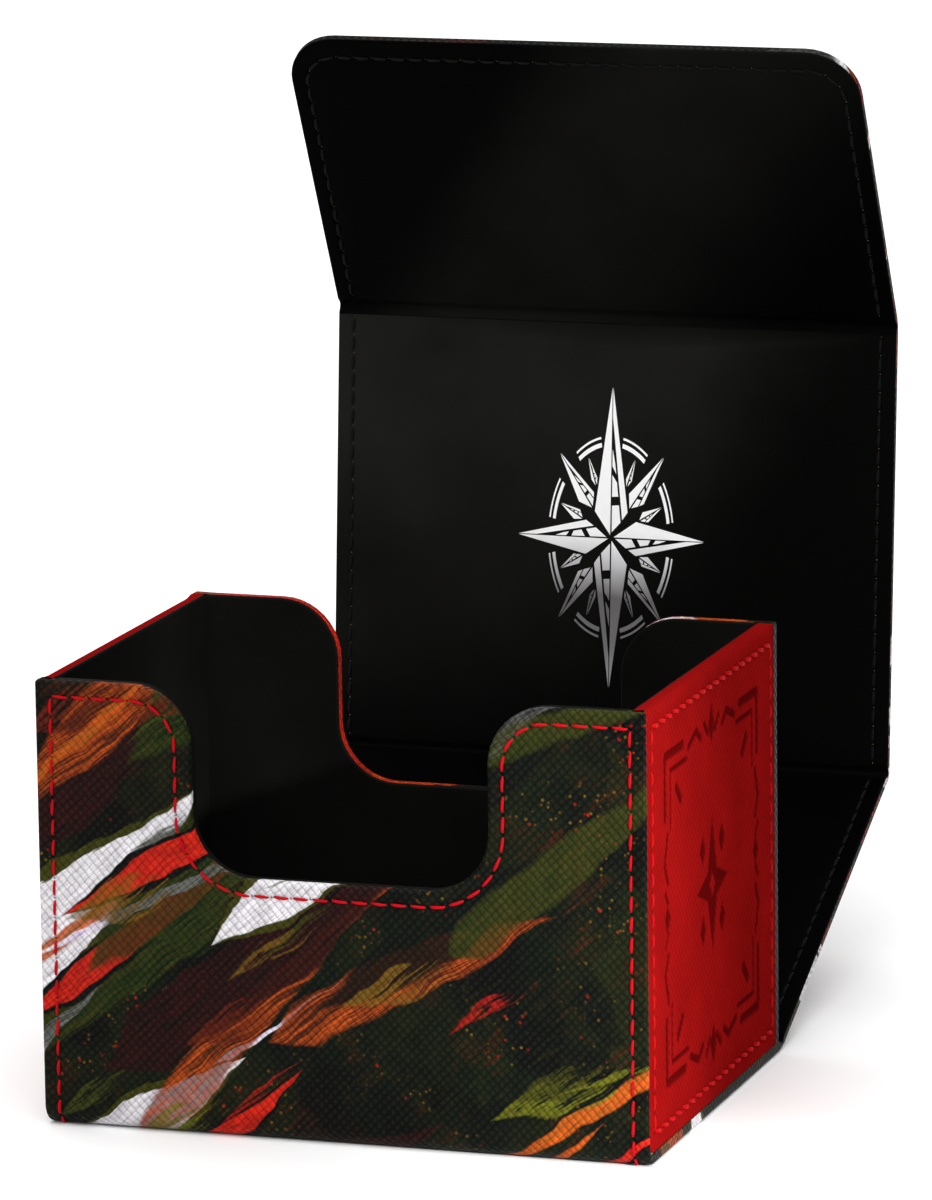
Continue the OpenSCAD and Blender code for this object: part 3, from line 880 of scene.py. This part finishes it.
def thread(name, dark, light):
    """Twisted thread: the coordinate holds the length along it and the turn round it."""
    t, shader, material = new_material(name, 0.65, 0.05)
    split = t.add("ShaderNodeSeparateXYZ", {"Vector": flat_point(t)}).outputs
    turns = t.math("MULTIPLY_ADD", split["X"], 1.5, split["Y"])
    twist = t.math("ABSOLUTE", t.math("SINE", t.math("MULTIPLY", turns, math.pi * 2)))
    fibre = t.noise(t.vector("MULTIPLY", flat_point(t), (1.2, 14.0, 1.0)), 2.0, 2)
    # The dark lines between the twisted plies are painted shade.
    colour = t.mix(t.span(twist, 0.0, 0.8), dark, light)
    colour = t.mix(t.span(fibre, 0.35, 0.75, 0.0, 0.25), colour, dark)
    finish(t, shader, colour, t.bump(t.math("MULTIPLY_ADD", fibre, 0.3, twist), 0.00006, 0.7))
    return material


def silver_foil():
    """Hot-stamped foil, with a painted reflection: bright at the top of the emblem and greyer towards its
    foot.
    """
    t, shader, material = new_material("silver_foil", 0.3, 0.4)
    point = flat_point(t)
    split = t.add("ShaderNodeSeparateXYZ", {"Vector": point}).outputs
    along = t.math("MULTIPLY_ADD", t.noise(point, 0.12, 2), 4.0, split["Y"])
    # The ramp is a painted reflection, white at the top and grey towards the foot.
    colour = t.ramp(t.span(along, -24.0, 12.0), [
        (0.0, srgb(176, 176, 178)), (0.18, srgb(128, 128, 130)), (0.42, srgb(112, 110, 112)),
        (0.6, srgb(206, 206, 208)), (0.75, srgb(252, 252, 252)), (1.0, srgb(255, 255, 255))])
    t.put(shader.inputs["Metallic"], t.span(along, -6.0, 2.0, 0.35, 0.0))
    finish(t, shader, colour, t.bump(t.noise(point, 2.4, 2), 0.00002, 0.4))
    return material


def chipboard():
    t, shader, material = new_material("chipboard", 0.85, 0.2)
    point = t.add("ShaderNodeTexCoord").outputs["Object"]
    fibres = t.noise(t.vector("MULTIPLY", point, (900.0, 2600.0, 2600.0)), 1.0, 4, 0.65)
    colour = t.ramp(fibres, [(0.3, srgb(126, 108, 84)), (0.7, srgb(176, 158, 128))])
    finish(t, shader, colour, t.bump(fibres, 0.0001, 0.5))
    return material


def turned_steel(name, tint):
    t, shader, material = new_material(name, 0.3, 0.5, metallic=1.0)
    point = t.add("ShaderNodeTexCoord").outputs["Object"]
    scratches = t.noise(t.vector("MULTIPLY", point, (4000.0, 300.0, 4000.0)), 1.0, 3, 0.6)
    t.put(shader.inputs["Base Color"], t.mix(t.span(scratches, 0.3, 0.8, 0.0, 0.3), tint, srgb(90, 90, 94)))
    t.put(shader.inputs["Roughness"], t.span(scratches, 0.3, 0.7, 0.22, 0.42))
    return material


FRONT_PRINT = printed_leatherette("printed_leatherette_front", paint_front)
REAR_PRINT = printed_leatherette("printed_leatherette_rear", paint_rear)
LID_PRINTS = {
    name: printed_leatherette(f"printed_leatherette_{name}", lambda p: paint_part(p, LID_STROKES, lo, hi))
    for name, lo, hi in (("rear_panel", WRAP_TOP, WRAP_REAR), ("top_panel", WRAP_FLAP, WRAP_TOP),
                         ("flap", FLAP_END, WRAP_FLAP))}
RED_SKIN = red_leatherette()
LINING = black_lining()
RED_THREAD = thread("red_thread", srgb(110, 4, 12), srgb(190, 8, 24))
SIDE_THREAD = thread("red_thread_side", srgb(112, 1, 4), srgb(178, 5, 9))
BLACK_THREAD = thread("black_thread", srgb(5, 5, 5), srgb(17, 17, 18))
FOIL = silver_foil()
CHIPBOARD = chipboard()
STEEL = turned_steel("steel_disc", srgb(186, 186, 190))
MAGNET = turned_steel("magnet", srgb(206, 206, 210))


# ---------------------------------------------------------------- tray


def spread(lo, hi, step):
    """Even levels from lo to hi, both left out."""
    return list(np.linspace(lo, hi, max(2, round((hi - lo) / step)) + 1)[1:-1])


def wall_corners(half, low, corner_r):
    """A wall with its thumb cut-out, from its lower left corner round to its lower right one."""
    deep = TRAY_H - CUT_DEPTH
    left = [(-half, low, 0), (-half, TRAY_H, corner_r), (-CUT_HALF, TRAY_H, CUT_R), (-CUT_HALF, deep, CUT_R)]
    return left + [(-x, s, r) for x, s, r in left[::-1]]


def wall_seams(low):
    """Both side columns, and the row over the tabs and round the cut-out."""
    m = FRONT_MARGIN
    edge, top, cut, deep = HALF_W - m, TRAY_H - m, CUT_HALF + m, TRAY_H - CUT_DEPTH - m
    half = [(-edge, top, 0), (-cut, top, CUT_R - m), (-cut, deep, CUT_R + m)]
    row = half + [(-x, s, r) for x, s, r in half[::-1]]
    return [Seam([(-edge, low, 0), (-edge, top, 0)]), Seam(row), Seam([(edge, top, 0), (edge, low, 0)])]


ROUNDING_REACH = 3.5
# The front wall's print turns in this far at its top, and its lining covers the rest of the board.
FRONT_TURN = 1.3


def edge_share(path, half, reach):
    """0 on the side edges, and 1 on the top edge and the cut-out."""
    return np.clip((half - np.abs(path[:, 0])) / reach, 0, 1)


def front_rim(path):
    under = np.clip((FOLD_R - path[:, 1]) / FOLD_ARC, 0, 1)
    top, far = edge_share(path, HALF_W, PANEL_R), edge_share(path, HALF_W, ROUNDING_REACH)
    turned = lerp(BOARD_IN, FRONT_TURN, edge_share(path, HALF_W - WALL_T, 1.0))
    return lerp(lerp(0.5, BASE_T, under), turned, top), lerp(lerp(0.5, 0.7, under), 0.8, far)


def rear_rim(path):
    top, far = edge_share(path, HALF_W, PANEL_R), edge_share(path, HALF_W, ROUNDING_REACH)
    return lerp(HALF_D - SIDE_END, BOARD_IN, top), lerp(0.6, 1.0, far)


def flat_rim(depth, radius):
    return lambda path: (np.full(len(path), depth), np.full(len(path), radius))


def riding(obj, body, slot, *replaced):
    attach(obj, body)
    if replaced:
        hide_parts(*replaced)
    return obj


fold_rows = [FOLD_END + FOLD_ARC * k / 10 for k in range(11)]
front_rows = spread(BASE_END, FOLD_END, 4) + fold_rows + spread(FOLD_R, TRAY_H, 3)
front_seams = wall_seams(FOLD_END)
front = build_sheet("front_wrap", [rounded_path(wall_corners(HALF_W, BASE_END, PANEL_R), front_rows)],
                    front_rim, place_front, FRONT_PRINT, front_seams, front_rows)
riding(front, "tray", "printed_leatherette", "front_skin", "base_skin")
riding(build_thread("front_thread", front_seams, place_front, RED_THREAD, fat=0.86), "tray", "red_thread",
       "front_stitching")

rear_seams = wall_seams(BASE_T + FRONT_MARGIN)
rear_rows = spread(BASE_T, TRAY_H, 3)
rear = build_sheet("rear_wrap", [rounded_path(wall_corners(HALF_W, BASE_T, PANEL_R), rear_rows)],
                   rear_rim, place_rear, REAR_PRINT, rear_seams, rear_rows)
riding(rear, "tray", "printed_leatherette", "rear_skin")
riding(build_thread("rear_thread", rear_seams, place_rear, RED_THREAD), "tray", "red_thread",
       "rear_stitching")

# ---------------------------------------------------------------- pressed ornament on the sides

SIDE_LO, SIDE_HI = SKIN_T - HALF_D, SIDE_END
SIDE_MID = np.array([(SIDE_LO + SIDE_HI) / 2, (BASE_T + TRAY_H) / 2])
FRAME_HALF = np.array([26.0, 26.5])


def ornament_strokes():
    """A plain frame: corner brackets, side bars and small lozenges, as (points, half width)."""
    w, t = FRAME_HALF
    quarter = [
        ([(w, t - 10), (w, t), (w - 10, t)], 0.75),
        ([(w - 2.8, t - 12), (w - 2.8, t - 2.8), (w - 12, t - 2.8)], 0.42),
        ([(w - 1.2, t - 13), (w + 0.5, t - 17.5), (w - 1.2, 6)], 0.62),
        ([(w - 13, t - 1.2), (w - 17.5, t + 0.5), (6, t - 1.2)], 0.62),
        ([(w - 6.2, t - 6.2), (w - 8.6, t - 8.6)], 0.85),
        ([(w + 0.2, 4.4), (w - 1.2, 2.6)], 0.5),
        ([(2.0, t - 1.2), (4.0, t + 0.8)], 0.6),
    ]
    strokes = []
    for points, half in quarter:
        for i in (-1, 1):
            for j in (-1, 1):
                strokes.append(([(x * i, s * j) for x, s in points], half))
    return strokes


def lozenge(points, centre, size):
    """Signed distance to a lozenge, about."""
    d = np.abs(points - centre) / size
    return (d.sum(axis=1) - 1) * min(size) * 0.8


def ornament_distance(at):
    """Distance to the nearest edge of the ornament: negative inside it."""
    at = at - SIDE_MID
    best = np.full(len(at), 1e3)
    for points, half in ornament_strokes():
        for a, b in zip(points[:-1], points[1:]):
            a, b = np.array(a), np.array(b)
            t = np.clip((at - a) @ (b - a) / ((b - a) @ (b - a)), 0, 1)
            best = np.minimum(best, np.linalg.norm(at - a - t[:, None] * (b - a), axis=1) - half)
    star = np.minimum(lozenge(at, (0, 0), (3.4, 11.5)), lozenge(at, (0, 0), (8.6, 3.2)))
    star = np.maximum(star, -lozenge(at, (0, 0), (1.4, 2.2)))
    best = np.minimum(best, star)
    for x, s in ((0, FRAME_HALF[1]), (0, -FRAME_HALF[1])):
        best = np.minimum(best, lozenge(at, (x, s), (1.8, 3.6)))
    for x, s in ((FRAME_HALF[0] - 1, 0), (1 - FRAME_HALF[0], 0),
                 (5.4, 6.6), (-5.4, 6.6), (5.4, -6.6), (-5.4, -6.6)):
        best = np.minimum(best, lozenge(at, (x, s), (1.7, 2.7)))
    return best


def pressed_in(at):
    return smooth(-ornament_distance(at), -PRESS_SLOPE / 2, PRESS_SLOPE / 2)


def ornament_points():
    """A fine grid where the pressed shapes' edges run."""
    across = np.arange(SIDE_LO + 4, SIDE_HI - 4, 0.3)
    up = np.arange(BASE_T + 4, TRAY_H - 4, 0.3)
    grid = np.array([[x, s] for s in up for x in across])
    return grid[np.abs(ornament_distance(grid)) < 0.42]


def side_rim(path):
    top = np.clip((path[:, 1] - TRAY_H) / PANEL_R + 1, 0, 1)
    ends = np.minimum(path[:, 0] - SIDE_LO, SIDE_HI - path[:, 0])
    far = np.where(top > 0, np.clip(ends / ROUNDING_REACH, 0, 1), 0)
    return lerp(0.45, BOARD_IN, top), lerp(0.3, 1.4, far)


side_path = rounded_path([
    (0, BASE_T, 0), (SIDE_LO, BASE_T, 2.6), (SIDE_LO, TRAY_H, PANEL_R), (SIDE_HI, TRAY_H, PANEL_R),
    (SIDE_HI, BASE_T, PANEL_R), (0, BASE_T, 0)])
# The seams' corners, starting and ending at the front foot. Columns and rows take turns.
x0, x1 = SIDE_LO + SIDE_MARGIN, SIDE_HI - SIDE_MARGIN + 1
s0, s1 = BASE_T + SIDE_MARGIN, TRAY_H - SIDE_MARGIN
seam_corners = [(x0, s0, 0), (x0, s1, 0), (x1, s1, 0), (x1, s0, 0), (x0, s0, 0)]
side_seams = [Seam(seam_corners[i : i + 2], (STITCH_PITCH, SIDE_PITCH)[i % 2]) for i in range(4)]
fine_points = ornament_points()
for side, place, flip in (("right", place_right, False), ("left", place_left, True)):
    skin = build_sheet(f"{side}_side_panel", [side_path], side_rim, place, RED_SKIN, side_seams,
                       flip=flip, press=pressed_in, fine=fine_points)
    riding(skin, "tray", "red_leatherette", f"{side}_side_skin")
    row_thread = build_thread(f"{side}_side_row_thread", side_seams[1::2], place, SIDE_THREAD, flip=flip,
                              slant=0.26, rise=0.1, fat=1.35)
    riding(row_thread, "tray", "red_thread", f"{side}_side_stitching")
    column_thread = build_thread(f"{side}_side_column_thread", side_seams[::2], place, SIDE_THREAD,
                                 flip=flip, rise=-0.06)
    riding(column_thread, "tray", "red_thread")

# ---------------------------------------------------------------- lining


# The tray's linings take one even level of the painted sheen.
LINING_PAINTED_SHEEN = 0.42


def lining_rim(half, turned):
    def rim(path):
        top = edge_share(path, half, PANEL_R)
        return lerp(0.15, turned, top), lerp(0.1, 0.4, top)

    return rim


def build_lining(node, path, rim, place):
    sheet = build_sheet(f"{node}_sheet", [path], rim, place, LINING,
                        painted_sheen=lambda x, s: np.full(len(x), LINING_PAINTED_SHEEN))
    riding(sheet, "tray", "black_lining", node)


inner_w = HALF_W - WALL_T + 0.2
inner_d = HALF_D - WALL_T
wall_path = rounded_path(wall_corners(inner_w, FLOOR_Z, PANEL_R))
build_lining("front_lining", wall_path, lining_rim(inner_w, WALL_T - FRONT_TURN), place_front_lining)
build_lining("rear_lining", wall_path, lining_rim(inner_w, WALL_T - BOARD_IN), place_rear_lining)
side_lining_path = rounded_path([(-inner_d, FLOOR_Z, 0), (-inner_d, TRAY_H, PANEL_R),
                                 (inner_d, TRAY_H, PANEL_R), (inner_d, FLOOR_Z, 0)])
side_lining_rim = lining_rim(inner_d, WALL_T - BOARD_IN)
build_lining("right_lining", side_lining_path, side_lining_rim, place_right_lining)
build_lining("left_lining", side_lining_path, side_lining_rim, place_left_lining)
floor_path = rounded_path([(0, -inner_d, 0), (-inner_w, -inner_d, 1), (-inner_w, inner_d, 1),
                           (inner_w, inner_d, 1), (inner_w, -inner_d, 1), (0, -inner_d, 0)])
build_lining("floor_lining", floor_path, flat_rim(0.3, 0.25), place_floor)

# ---------------------------------------------------------------- lid


def lid_rim(depth, radius):
    def rim(path):
        thick = lid_half_t(path[:, 1])
        return depth * thick, radius * thick

    return rim


def panel_paths(start, end, rows):
    return [rounded_path([(-HALF_W, start, 0), (-HALF_W, end, 0)], rows),
            rounded_path([(HALF_W, end, 0), (HALF_W, start, 0)], rows)]


def lid_panel(name, joint, bodies, angles, paths, rows, seams, wrap_start, painted_sheen):
    """One panel's printed skin and black lining, each bending at the fold before it."""
    axis, (before, after) = folds[joint], angles

    def joined(obj, slot, *nodes):
        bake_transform(obj)
        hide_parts(*nodes)

    outside, inside = (lid_placer(joint, before, after, o) for o in (True, False))
    skin = build_sheet(f"{name}_print", paths, lid_rim(1.6, 0.7), outside, LID_PRINTS[name], seams, rows,
                       wrap=lambda s: wrap_start - s, flip=True)
    joined(skin, "printed_leatherette", f"{name}_skin")
    lining = build_sheet(f"{name}_lining_sheet", paths, lid_rim(0.4, 0.3), inside, LINING, seams, rows,
                         painted_sheen=painted_sheen)
    joined(lining, "black_lining", f"{name}_lining", f"{joint}_strip")
    inner = build_thread(f"{name}_thread", seams, inside, BLACK_THREAD, rise=0.0)
    riding(inner, bodies[1], "black_thread", f"{name}_stitching")
    outer = build_thread(f"{name}_outer_thread", seams, outside, RED_THREAD, flip=True, rise=0.0)
    riding(outer, bodies[1], "red_thread")
    return inside


def columns(start, end):
    x = HALF_W - LID_MARGIN
    return [Seam([(-x, start, 0), (-x, end, 0)]), Seam([(x, start, 0), (x, end, 0)])]


def lid_rows(start, end):
    bend = [BEND_REACH * k / 7 for k in range(-7, 8)]
    return [r for r in bend if start + 0.1 < r] + spread(BEND_REACH, end, 4)


# The rear panel's lining gets no painted sheen.
def no_painted_sheen(x, s):
    return 0 * x


def top_painted_sheen(x, s):
    """A soft diagonal painted sheen that grows towards the top panel's upper left."""
    diagonal = smooth(x - 0.5 * (s - 40), 30, -10)
    return 0.1 + diagonal * (0.4 * smooth(s, -4, 30) + 0.5 * smooth(s, 25, 62))


def flap_painted_sheen(x, s):
    """A soft diagonal band of painted sheen across the flap."""
    slant = x - 0.7 * s
    return 0.5 * smooth(slant, -52, -26) * smooth(slant, 34, -14)


FOLD_MARGIN = BEND_REACH + 0.4
start, end = -FOLD_GAP, REAR_LEN - BEND_REACH
rows = lid_rows(start, end)
lid_panel("rear_panel", "rear_fold", ("tray", "rear_panel"), (0.0, REAR_ANGLE),
          panel_paths(start, end, rows), rows, columns(FOLD_MARGIN, end - 0.4), WRAP_REAR, no_painted_sheen)
start, end = -BEND_REACH, TOP_LEN - BEND_REACH
rows = lid_rows(start, end)
on_top_panel = lid_panel("top_panel", "top_fold", ("rear_panel", "top_panel"), (REAR_ANGLE, TOP_ANGLE),
                         panel_paths(start, end, rows), rows, columns(FOLD_MARGIN, end - 0.4), WRAP_TOP,
                         top_painted_sheen)
start, end = -BEND_REACH, FLAP_LEN
rows = lid_rows(start, end)
flap_path = rounded_path([(-HALF_W, start, 0), (-HALF_W, end, FLAP_R), (HALF_W, end, FLAP_R),
                          (HALF_W, start, 0)], rows)
flap_x, flap_s = HALF_W - LID_MARGIN, FLAP_LEN - FLAP_MARGIN
flap_seam = Seam([(-flap_x, FOLD_MARGIN, 0), (-flap_x, flap_s, FLAP_R - LID_MARGIN),
                  (flap_x, flap_s, FLAP_R - LID_MARGIN), (flap_x, FOLD_MARGIN, 0)])
lid_panel("flap", "flap_fold", ("top_panel", "flap"), (TOP_ANGLE, FLAP_ANGLE),
          [flap_path], rows, [flap_seam], WRAP_FLAP, flap_painted_sheen)

# ---------------------------------------------------------------- emblem

EMBLEM_HALF = np.array([17.0, 26.5])
FOIL_T = 0.08


def emblem_oval(size, angle):
    return EMBLEM_HALF * size * np.array([math.sin(angle), math.cos(angle)])


def emblem_point(angle, reach, waist, root, knee):
    """One split point of the star: a solid half, and a half of slim facets."""
    away = np.array([math.sin(angle), math.cos(angle)])
    tip = away * reach / np.linalg.norm(away / EMBLEM_HALF)
    side = np.array([away[1], -away[0]])
    shapes = []
    for hand in (-1, 1):
        gap = side * hand * 0.14
        core, corner, end = away * root + gap, away * knee + side * hand * waist, tip + gap * 0.5
        if hand == -1:
            shapes.append([core, corner, end])
            continue
        inner = [lerp(corner, core, 0.34), lerp(end, core, 0.2)]
        shapes.append([corner, end, inner[1], inner[0]])
        for lo, hi in ((0.0, 0.2), (0.3, 0.46), (0.56, 0.68)):
            outer = [lerp(inner[0], inner[1], lo), lerp(inner[0], inner[1], hi)]
            outer = [lerp(o, core, 0.16) for o in outer]
            shapes.append([*outer, lerp(core, end, hi * 0.8 + 0.04), lerp(core, end, lo * 0.8 + 0.02)])
    return shapes


def emblem_arc(inner, outer, start, end):
    angles = np.linspace(start, end, 9)
    return [emblem_oval(outer, a) for a in angles] + [emblem_oval(inner, a) for a in angles[::-1]]


def emblem_shapes():
    """A compass rose: long, middle and short split points with broken rings between them."""
    shapes = []
    for k in range(4):
        shapes += emblem_point(k * math.pi / 2, 1.0, 3.0, 0.5, 4.6)
    for base in (0, math.pi):
        for hand in (-1, 1):
            shapes += emblem_point(base + hand * 0.576, 0.78, 1.6, 6.3, 8.4)
            shapes += emblem_point(base + hand * 0.297, 0.58, 0.55, 9.6, 10.8)
            shapes += emblem_point(base + hand * 1.012, 0.58, 1.0, 6.2, 7.4)
            for middle in (0.39, 1.18):
                start, end = sorted(base + hand * (middle + side * 0.21) for side in (-1, 1))
                shapes.append(emblem_arc(0.61, 0.64, start, end))
                shapes.append(emblem_arc(0.665, 0.68, start, end))
    return shapes


def build_emblem():
    points, faces = [], []
    for outline in emblem_shapes():
        outline = np.array(outline)
        ahead = np.roll(outline, -1, axis=0)
        area = (outline[:, 0] * ahead[:, 1] - outline[:, 1] * ahead[:, 0]).sum()
        if area < 0:
            outline = outline[::-1]
        middle = outline.mean(axis=0)
        first, n = len(points), len(outline)
        for scale, h in ((1.0, -0.05), (1.0, FOIL_T * 0.6), (0.985, FOIL_T)):
            points += np.column_stack([middle + (outline - middle) * scale, np.full(n, h)]).tolist()
        for k in (0, 1):
            for i in range(n):
                a, b = first + k * n + i, first + k * n + (i + 1) % n
                faces.append([a, b, b + n, a + n])
        faces.append(list(range(first + 2 * n, first + 3 * n)))
    points = np.array(points)
    flat = points.copy()
    points[:, 1] += TOP_LEN / 2
    return make_mesh("emblem", points, flat, faces, on_top_panel, FOIL)


emblem = build_emblem()
emblem.data.shade_flat()
riding(emblem, "top_panel", "silver_foil", "emblem_foil")

# ---------------------------------------------------------------- hidden cores

for name, node in frame["nodes"].items():
    if name.endswith("_board"):
        look = CHIPBOARD
    elif name == "tray_magnets":
        look = STEEL
    elif name == "flap_magnets":
        look = MAGNET
    else:
        continue
    node.data.materials.clear()
    node.data.materials.append(look)

# ---------------------------------------------------------------- camera, light and floor

YAW, PITCH, ROLL = (math.radians(a) for a in (18.30, 11.37, -0.78))
AIM = Vector((0, 0, 0.036))
OFFSET = (0.00838, 0.0448)
DISTANCE = 1.26055
LENS = 231.75
SENSOR = 36.0

forward = Vector((-math.sin(YAW) * math.cos(PITCH), math.cos(YAW) * math.cos(PITCH), -math.sin(PITCH)))
right = Vector((math.cos(YAW), math.sin(YAW), 0))
up = right.cross(forward)
across = math.cos(ROLL) * right + math.sin(ROLL) * up
upward = math.cos(ROLL) * up - math.sin(ROLL) * right
camera = bpy.data.objects.new("camera", bpy.data.cameras.new("camera"))
camera.data.lens = LENS
camera.data.sensor_width = SENSOR
camera.data.clip_start = 0.05
turn = Matrix((across, upward, -forward)).transposed().to_4x4()
turn.translation = AIM + OFFSET[0] * across + OFFSET[1] * upward - DISTANCE * forward
camera.matrix_world = turn
bpy.context.scene.collection.objects.link(camera)
bpy.context.scene.camera = camera


FLOOR_REACH = 6.0


def pale_floor():
    t, shader, material = new_material("pale_floor", 0.7, 0.1)
    point = t.add("ShaderNodeTexCoord").outputs["Object"]
    tone = t.ramp(t.noise(point, 6.0, 3), [(0.3, (0.95, 0.95, 0.95, 1)), (0.7, (0.97, 0.97, 0.97, 1))])
    t.put(shader.inputs["Base Color"], tone)
    mesh = bpy.data.meshes.new("floor")
    corners = [(x * FLOOR_REACH, y * FLOOR_REACH, 0) for x, y in ((-1, -1), (1, -1), (1, 1), (-1, 1))]
    mesh.from_pydata(corners, [], [(0, 1, 2, 3)])
    mesh.materials.append(material)
    floor = bpy.data.objects.new("floor", mesh)
    floor.location.z = -0.0001
    bpy.context.scene.collection.objects.link(floor)


def lamp(name, kind, energy, towards, at=(0, 0, 0), **settings):
    data = bpy.data.lights.new(name, kind)
    data.energy = energy
    for key, value in settings.items():
        setattr(data, key, value)
    obj = bpy.data.objects.new(name, data)
    obj.location = at
    obj.rotation_euler = Vector(towards).to_track_quat("-Z", "Y").to_euler()
    bpy.context.scene.collection.objects.link(obj)
    return obj


def white_world():
    """White to the camera, and dimmer as a light."""
    world = bpy.data.worlds.new("world")
    world.use_nodes = True
    t = Tree(world.node_tree)
    background = t.nodes["Background"]
    background.inputs["Color"].default_value = (1, 1, 1, 1)
    seen = t.add("ShaderNodeLightPath").outputs["Is Camera Ray"]
    t.put(background.inputs["Strength"], t.span(seen, 0.0, 1.0, 0.45, 1.0))
    bpy.context.scene.world = world


pale_floor()
white_world()
lamp("key", "SUN", 1.35, (-0.12, 0.85, -0.85), angle=math.radians(50))
lamp("top", "SUN", 2.1, (0.0, -0.1, -1), angle=math.radians(95))
# A narrow soft spot brightens the corner where the front meets the right side.
SPOT_AIM = Vector((0.051, -0.036, 0.036))
SPOT_FROM = SPOT_AIM + Vector((0.95, -0.6, 0.4))
corner = lamp("corner", "SPOT", 95.0, SPOT_AIM - SPOT_FROM, SPOT_FROM, spot_size=math.radians(3.2),
              spot_blend=1.0, shadow_soft_size=0.02)
corner.scale.y = 3.2
bpy.context.scene.view_settings.view_transform = "Standard"
